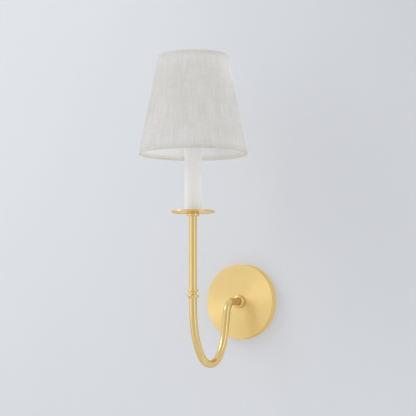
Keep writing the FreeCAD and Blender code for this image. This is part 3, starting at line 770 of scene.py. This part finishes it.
def light_room():
    """Even light from all round, dimmer behind the camera; the camera sees wall colour."""
    values = settings("stage")
    world = bpy.data.worlds.new("room")
    world.use_nodes = True
    bpy.context.scene.world = world
    nodes, links = world.node_tree.nodes, world.node_tree.links
    room = nodes["Background"]
    room.inputs["Color"].default_value = (0.98, 0.99, 1.0, 1)

    def vector(operation, source, other=None):
        """One step of vector maths on source and, where one is given, a fixed vector."""
        made = nodes.new("ShaderNodeVectorMath")
        made.operation = operation
        links.new(source, made.inputs[0])
        if other:
            made.inputs[1].default_value = other
        return made.outputs

    heading = nodes.new("ShaderNodeTexCoord").outputs["Generated"]
    level = vector("MULTIPLY", heading, (1, 1, 0))["Vector"]
    compass = vector("NORMALIZE", level)["Vector"]
    turn = values.camera_turn
    front = vector("DOT_PRODUCT", compass, (math.sin(turn), -math.cos(turn), 0))["Value"]
    dim = nodes.new("ShaderNodeMapRange")
    dim.interpolation_type = "SMOOTHSTEP"
    dim.inputs["From Min"].default_value = math.cos(DIM_NONE)
    dim.inputs["From Max"].default_value = math.cos(DIM_ALL)
    dim.inputs["To Min"].default_value = values.room_level
    dim.inputs["To Max"].default_value = values.room_level * (1 - values.front_dim)
    links.new(front, dim.inputs["Value"])
    links.new(dim.outputs["Result"], room.inputs["Strength"])
    backdrop = nodes.new("ShaderNodeBackground")
    backdrop.inputs["Color"].default_value = (*values.wall_colour, 1)
    rays = nodes.new("ShaderNodeLightPath")
    mix = nodes.new("ShaderNodeMixShader")
    links.new(rays.outputs["Is Camera Ray"], mix.inputs["Fac"])
    links.new(room.outputs["Background"], mix.inputs[1])
    links.new(backdrop.outputs["Background"], mix.inputs[2])
    links.new(mix.outputs["Shader"], nodes["World Output"].inputs["Surface"])


def place_camera():
    values = settings("stage")
    turn, tilt = values.camera_turn, values.camera_tilt
    ahead = Vector((-math.sin(turn) * math.cos(tilt), math.cos(turn) * math.cos(tilt),
                    math.sin(tilt)))
    eye = bpy.data.cameras.new("camera")
    eye.sensor_width = 36.0
    eye.lens = values.lens
    eye.clip_start = 0.05
    eye.clip_end = 50.0
    camera = bpy.data.objects.new("camera", eye)
    camera.location = values.camera_at
    camera.rotation_mode = "QUATERNION"
    camera.rotation_quaternion = ahead.to_track_quat("-Z", "Y")
    bpy.context.collection.objects.link(camera)
    bpy.context.scene.camera = camera


class WALLLIGHT_OT_stage(bpy.types.Operator):
    """Adds the wall, the floor, the soft boxes and the camera"""
    bl_idname = "wall_light.stage"
    bl_label = "Add the stage"

    def execute(self, context):
        values = settings("stage")
        context.scene.view_settings.view_transform = "Standard"
        floor_z = CAD_BOX[0][2] - values.floor_below
        left, right, reach = -WALL_HALF, WALL_HALF, FLOOR_HALF
        flat_sheet("wall", ((left, WALL_Y, floor_z), (right, WALL_Y, floor_z),
                            (right, WALL_Y, WALL_TOP), (left, WALL_Y, WALL_TOP)), wall_paint())
        flat_sheet("floor", ((-reach, -reach, floor_z), (reach, -reach, floor_z),
                             (reach, reach, floor_z), (-reach, reach, floor_z)), floor_paint())
        soft_box("key_box", values.key_level, side=-58, lift=34, distance=2.2,
                 width=1.1, height=1.1)
        soft_box("left_screen", values.left_level, side=-44, lift=-14, distance=2.3,
                 width=1.7, height=2.2)
        soft_box("right_screen", values.right_level, side=77, lift=6, distance=2.3,
                 width=0.9, height=3.0)
        light_room()
        place_camera()
        return {"FINISHED"}


# Back plate
def make_pan(brass):
    """The plate: a hollow pan, open to the wall, with a hole for the arm's nipple."""
    values = settings("metal")
    outer, deep = half_width("backplate"), out_of("backplate")
    bore = half_width("arm_nipple")
    wall, rear_edge, edge = 0.0012, 0.001, values.plate_edge
    pan = turn_profile("plate_pan", rounded([
        (bore, deep - wall, 0), (bore, deep, 0), (outer, deep, edge), (outer, 0, rear_edge),
        (outer - wall, 0, 0), (outer - wall, deep - wall, edge),
    ], pieces=10), PLATE_AT, "Y", values.steps * 2)
    keep_flats(pan)
    fit_piece(pan, ROOT, brass, "backplate")


def make_collar():
    """The rounded ring on the plate that the end of the arm's tube sits in."""
    outer, bore = half_width("arm_collar"), half_width("arm_nipple")
    foot, front = out_of("backplate"), out_of("arm_collar")
    foot_in, widest_in, lip_in = 0.0009, 0.00005, 0.0027
    widest, lip = foot + 0.003, front - 0.00015
    bevel = 0.0006
    bulge = arc_through((outer - foot_in, foot), (outer - widest_in, widest),
                        (outer - lip_in, lip))
    collar = turn_profile("arm_ring", [(bore, foot)] + bulge + [
        (TUBE_R, lip - bevel), (TUBE_R, foot + ARM_SEAT), (bore, foot + ARM_SEAT),
    ], PLATE_AT, "Y", settings("metal").steps)
    keep_flats(collar)
    # The collar gets a little painted shade towards the plate
    brass = satin_brass("satin_brass_collar", painted_shade=0.2)
    fit_piece(collar, ROOT, brass, "arm_collar")


class WALLLIGHT_OT_plate(bpy.types.Operator):
    """Makes the back plate and the collar round the arm, and finishes the rim screws"""
    bl_idname = "wall_light.plate"
    bl_label = "Make the plate"

    def execute(self, context):
        values = settings("metal")
        brass = satin_brass("satin_brass_spun", values.spun_roughness, values.spun_grain)
        make_pan(brass)
        make_collar()
        dress(brass, "rim_screws")
        return {"FINISHED"}


class WALLLIGHT_OT_inside(bpy.types.Operator):
    """Finishes the strap, nuts and earth parts in the plate, and the lampholder and wires"""
    bl_idname = "wall_light.inside"
    bl_label = "Finish the plate's inside"

    def execute(self, context):
        dress(zinc_steel(), "mounting_strap", "arm_washer", "arm_nut", "ground_tab",
              "socket_bracket", "bracket_screws")
        dress(plain_brass(), "arm_nipple", "stem_nipple", "bobeche_nut", "lampholder_shell",
              "lampholder_contact", "lampholder_terminals")
        dress(moulded("green_screw", (0.05, 0.24, 0.08), 0.35), "ground_screw")
        dress(moulded("green_insulation", (0.05, 0.26, 0.09)), "ground_lead")
        dress(moulded("black_insulation", (0.02, 0.02, 0.02)), "live_lead")
        dress(moulded("white_insulation", (0.78, 0.78, 0.75)), "neutral_lead")
        dress(moulded("connector_plastic", (0.72, 0.22, 0.04), 0.38), "wire_connectors")
        dress(moulded("black_phenolic", (0.025, 0.025, 0.025), 0.3), "lampholder_body")
        return {"FINISHED"}


# Arm
def arm_centres(step=math.radians(1.5), limb_points=12):
    """Points down the arm's centre line, from inside the knop to the plate."""
    values = settings("arm")
    heading = -math.pi / 2
    place = Vector((STEM_OUT, values.bend_from))
    points = [Vector((STEM_OUT, top("arm_tube"))), place]

    def bend(radius, turn):
        """Adds an arc that starts at place along heading; a turn over 0 goes left."""
        nonlocal heading, place
        side = math.copysign(radius, turn)
        centre = place + Vector((-math.sin(heading), math.cos(heading))) * side
        count = max(8, math.ceil(abs(turn) / step))
        for k in range(1, count + 1):
            angle = heading + turn * k / count
            points.append(centre + Vector((math.sin(angle), -math.cos(angle))) * side)
        place = points[-1]
        heading += turn

    for radius, turn in zip(values.radii, values.turns):
        bend(radius, -turn)
    # The straight limb ends where the last bend can bring the tube level at the plate's middle
    rest = math.pi - (heading + math.tau)
    rise = values.hook_radius * (1 - math.cos(rest))
    limb = Vector((math.cos(heading), math.sin(heading))) * (-rise - place.y) / math.sin(heading)
    foot = place
    for k in range(1, limb_points + 1):
        points.append(foot + limb * k / limb_points)
    place = points[-1]
    bend(values.hook_radius, rest)
    points.append(Vector((out_of("backplate") + ARM_SEAT, 0.0)))
    return [Vector((0.0, -out, z)) for out, z in points]


class WALLLIGHT_OT_arm(bpy.types.Operator):
    """Sweeps the swan-neck arm"""
    bl_idname = "wall_light.arm"
    bl_label = "Make the arm"

    def execute(self, context):
        tube = sweep_tube("swan_neck", arm_centres(), TUBE_R, half_width("arm_nipple"))
        # The arm's tube gets painted shade towards the plate
        brass = satin_brass("satin_brass_drawn", drawn=True, painted_shade=1.0)
        fit_piece(tube, ROOT, brass, "arm_tube")
        return {"FINISHED"}


# Stem
def make_stem():
    bore = half_width("stem_nipple")
    low, high = bottom("stem_tube"), top("stem_tube")
    stem = turn_profile("upright", [
        (bore, low), (TUBE_R, low), (TUBE_R, high), (bore, high),
    ], STEM_AT, "Z", settings("metal").steps)
    brass = satin_brass("satin_brass_stem", drawn=True)
    fit_piece(stem, ROOT, brass, "stem_tube")


def make_knop(brass):
    """The coupling: a wide bead below, a neck, and a narrower ring on top."""
    base, peak = bottom("knop"), top("knop")
    wide = half_width("knop")
    neck, ring, bore = wide - 0.00325, wide - 0.001, 0.004
    bead_low, bead, bead_high = base + 0.0024, base + 0.0041, base + 0.0059
    neck_low, neck_high = base + 0.0069, base + 0.0096
    ring_low = base + 0.0106
    seat = peak - 0.0004
    knop = turn_profile("knop_turning", rounded([
        (bore, base, 0), (TUBE_R + 0.0002, base, 0.0002), (wide - 0.0008, bead_low, 0.002),
        (wide, bead, 0.0012), (wide - 0.0003, bead_high, 0.0009),
        (neck + 0.0004, neck_low - 0.0005, 0.0004), (neck, neck_low, 0.0003),
        (neck, neck_high, 0.0005), (neck + 0.0006, neck_high + 0.0006, 0.0003),
        (ring, ring_low, 0.0012), (ring, peak - 0.0003, 0.0014),
        (TUBE_R + 0.0001, peak, 0.0001), (TUBE_R, seat, 0), (bore, seat, 0),
    ]), STEM_AT, "Z", settings("metal").steps)
    fit_piece(knop, ROOT, brass, "knop")


def make_cup(brass):
    """The small cup, stepped in at its top so that a groove shows under the drip plate."""
    bore = half_width("stem_nipple")
    base, peak = bottom("bobeche_cup"), top("bobeche_cup")
    wide = half_width("bobeche_cup")
    shoulder, groove, edge = base + 0.0049, wide - 0.00085, 0.0009
    cup = turn_profile("drip_cup", rounded([
        (bore, base, 0), (wide, base, edge), (wide, shoulder, edge),
        (groove, shoulder, 0), (groove, peak, 0), (bore, peak, 0),
    ]), STEM_AT, "Z", settings("metal").steps)
    keep_flats(cup)
    fit_piece(cup, ROOT, brass, "bobeche_cup")


def make_drip_plate(bead_points=24):
    """A thin round plate whose rim is rolled to a bead as high as the CAD plate."""
    bore = half_width("stem_nipple")
    base, peak = bottom("bobeche"), top("bobeche")
    bead = (peak - base) / 2
    under, over = base + 0.0005, base + 0.0017
    centre = Vector((half_width("bobeche") - bead, base + bead))
    first = math.pi + math.asin((centre.y - under) / bead)
    last = 3 * math.pi - math.asin((over - centre.y) / bead)
    rim = [first + (last - first) * k / bead_points for k in range(bead_points + 1)]
    outline = [centre + Vector((math.cos(a), math.sin(a))) * bead for a in rim]
    plate = turn_profile("drip_plate", [(bore, under), *outline, (bore, over)], STEM_AT, "Z",
                         settings("metal").steps * 2)
    keep_flats(plate)
    fit_piece(plate, ROOT, satin_brass("satin_brass_plate"), "bobeche")


class WALLLIGHT_OT_stem(bpy.types.Operator):
    """Turns the knop, the stem, the cup and the drip plate"""
    bl_idname = "wall_light.stem"
    bl_label = "Make the stem"

    def execute(self, context):
        turned = satin_brass("satin_brass_knop")
        make_stem()
        make_knop(turned)
        make_cup(turned)
        make_drip_plate()
        return {"FINISHED"}


# Candle sleeve
class WALLLIGHT_OT_sleeve(bpy.types.Operator):
    """Makes the candle sleeve"""
    bl_idname = "wall_light.sleeve"
    bl_label = "Make the sleeve"

    def execute(self, context):
        lip, wall, foot_edge = settings("candle").lip, 0.0012, 0.0002
        low, high = bottom("candle_sleeve"), top("candle_sleeve")
        outer = half_width("candle_sleeve")
        bore = outer - wall
        sleeve = turn_profile("candle", rounded([
            (bore, low, foot_edge), (outer, low, lip), (outer, high, lip), (bore, high, lip),
        ]), STEM_AT, "Z", settings("metal").steps)
        keep_flats(sleeve)
        fit_piece(sleeve, ROOT, candle_paint(), "candle_sleeve")
        return {"FINISHED"}


# Bulb
def globe_outline(rows=40):
    """Outline of the hollow glass: an S-shaped swell up to its belly, then a blunt tip."""
    low, high = bottom("bulb_globe"), top("bulb_globe")
    wide = half_width("bulb_globe")
    neck = half_width("bulb_cap") - 0.0004
    wall, skirt, belly, bluntness = 0.0008, 0.0015, 0.40, 1.9
    outside = []
    for k in range(rows):
        part = k / rows
        if part < belly:
            swell = math.sin(math.pi * part / belly - math.pi / 2) * 0.5 + 0.5
            radius = neck + (wide - neck) * swell
        else:
            fall = (part - belly) / (1 - belly)
            radius = wide * math.sqrt(1 - fall ** bluntness)
        outside.append((radius, low + skirt + (high - low - skirt) * part))
    inside = [(radius - wall, height) for radius, height in reversed(outside[:-1])]
    return [(neck, low), *outside, (0.0, high), (0.0, high - wall), *inside, (neck - wall, low)]


class WALLLIGHT_OT_bulb(bpy.types.Operator):
    """Makes the bulb's glass and finishes its cap and filaments"""
    bl_idname = "wall_light.bulb"
    bl_label = "Make the bulb"

    def execute(self, context):
        glass = frosted_glass()
        globe = turn_profile("lamp_glass", globe_outline(), STEM_AT, steps=96)
        fit_piece(globe, BULB, glass, "bulb_globe")
        dress(glass, "bulb_stem")
        dress(nickel(), "bulb_cap", "bulb_contact")
        dress(moulded("black_glass", (0.015, 0.015, 0.015), 0.15), "bulb_insulator")
        dress(light_rod(), "bulb_filament")
        return {"FINISHED"}


# Shade
SHADE_STEPS = 256
# The hem's linen goes round the wire at this radius, and the wire lies this far inside the cone
HEM_ROLL = 0.0015
WIRE_IN = 0.00095


def cone_radius(z):
    """The shade's outside radius at a height."""
    values = settings("shade")
    low, high = bottom("hem_bottom"), top("hem_top")
    return values.low_radius + (values.top_radius - values.low_radius) * (z - low) / (high - low)


def roll_centre(ring):
    """Radius and height of the wire in the shade's bottom or top edge."""
    z = middle(ring).z
    return cone_radius(z) - settings("shade").cloth - WIRE_IN, z


def cone_line(low, high, depth, rows=24):
    """Points up the cone's side from low to high, depth metres inside its outside."""
    heights = [low + (high - low) * k / rows for k in range(rows + 1)]
    return [(cone_radius(z) - depth, z) for z in heights]


class WALLLIGHT_OT_shade(bpy.types.Operator):
    """Makes the linen cone, its liner and its seam"""
    bl_idname = "wall_light.shade"
    bl_label = "Make the shade"

    def execute(self, context):
        values = settings("shade")
        low, high = roll_centre("shade_bottom_ring")[1], roll_centre("shade_top_ring")[1]
        cone = turn_profile("linen_cone", cone_line(low, high, 0.0), STEM_AT,
                            steps=SHADE_STEPS, closed=False)
        fit_piece(cone, SHADE, linen("linen", values.linen), "shade_fabric")

        clear, depth = 0.0012, values.cloth + values.liner
        film = turn_profile("liner_film", cone_line(low + clear, high - clear, depth), STEM_AT,
                            steps=SHADE_STEPS, closed=False)
        fit_piece(film, SHADE, white_film(), "shade_liner")

        low, high = bottom("shade_seam"), top("shade_seam")
        proud = 0.00035
        angle = 2 * half_width("shade_seam") / values.low_radius
        strip = turn_profile("seam_strip", cone_line(low, high, -proud, rows=12), STEM_AT,
                             steps=16, full=angle, start=(math.pi - angle) / 2, closed=False)
        seam = linen("linen_seam", values.linen, through=0.85)
        fit_piece(strip, SHADE, seam, "shade_seam")
        return {"FINISHED"}


class WALLLIGHT_OT_hems(bpy.types.Operator):
    """Rolls the hems round the wires and finishes the wires"""
    bl_idname = "wall_light.hems"
    bl_label = "Make the hems"

    def execute(self, context):
        values = settings("shade")
        tape = linen("hem_tape", values.tape, slub=0.5)
        clear, leave, arc_points = 0.0002, 0.0009, 16
        band_depth = values.cloth + values.liner + clear
        # down is 1 for the bottom hem and -1 for the top one
        for down, name, node, ring in ((1, "hem_low", "hem_bottom", "shade_bottom_ring"),
                                       (-1, "hem_high", "hem_top", "shade_top_ring")):
            radius, z = roll_centre(ring)
            angles = [math.pi * k / arc_points for k in range(arc_points + 1)]
            points = [(radius + HEM_ROLL * math.cos(a), z - down * HEM_ROLL * math.sin(a))
                      for a in angles]
            band_z = z + down * values.band
            points += [(radius - HEM_ROLL, z + down * leave),
                       (cone_radius(band_z) - band_depth, band_z)]
            roll = turn_profile(name, points, STEM_AT, steps=SHADE_STEPS, closed=False)
            fit_piece(roll, SHADE, tape, node)
        wire = moulded("white_wire", (0.88, 0.87, 0.84), 0.4)
        dress(wire, "shade_bottom_ring", "shade_top_ring")
        return {"FINISHED"}


class WALLLIGHT_OT_carrier(bpy.types.Operator):
    """Finishes the hub, spokes and bulb clips that carry the shade"""
    bl_idname = "wall_light.carrier"
    bl_label = "Finish the shade carrier"

    def execute(self, context):
        parts = [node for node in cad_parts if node.startswith(("spider_", "bulb_clip_"))]
        dress(plain_brass("carrier_brass"), *parts)
        return {"FINISHED"}


# Add-on
OPERATORS = (
    WALLLIGHT_OT_stage, WALLLIGHT_OT_plate, WALLLIGHT_OT_inside, WALLLIGHT_OT_arm,
    WALLLIGHT_OT_stem, WALLLIGHT_OT_sleeve, WALLLIGHT_OT_bulb, WALLLIGHT_OT_shade,
    WALLLIGHT_OT_hems, WALLLIGHT_OT_carrier,
)
GROUPS = (
    ("stage", StageSettings), ("metal", MetalSettings), ("arm", ArmSettings),
    ("shade", ShadeSettings), ("candle", CandleSettings),
)


class WALLLIGHT_PT_panel(bpy.types.Panel):
    """Settings and steps of the wall light"""
    bl_idname = "WALLLIGHT_PT_panel"
    bl_label = "Wall light"
    bl_space_type = "VIEW_3D"
    bl_region_type = "UI"
    bl_category = "Wall light"

    def draw(self, context):
        for name, group in GROUPS:
            box = self.layout.box()
            box.label(text=name.capitalize())
            for key in group.__annotations__:
                box.prop(settings(name), key)
        for operator in OPERATORS:
            self.layout.operator(operator.bl_idname)


def register():
    for name, group in GROUPS:
        bpy.utils.register_class(group)
        setattr(bpy.types.Scene, "wall_light_" + name, PointerProperty(type=group))
    for operator in OPERATORS:
        bpy.utils.register_class(operator)
    bpy.utils.register_class(WALLLIGHT_PT_panel)


def unregister():
    bpy.utils.unregister_class(WALLLIGHT_PT_panel)
    for operator in reversed(OPERATORS):
        bpy.utils.unregister_class(operator)
    for name, group in reversed(GROUPS):
        delattr(bpy.types.Scene, "wall_light_" + name)
        bpy.utils.unregister_class(group)


def main():
    register()
    for operator in OPERATORS:
        group, name = operator.bl_idname.split(".")
        getattr(getattr(bpy.ops, group), name)()
    bpy.context.view_layer.update()


if __name__ == "__main__":
    main()
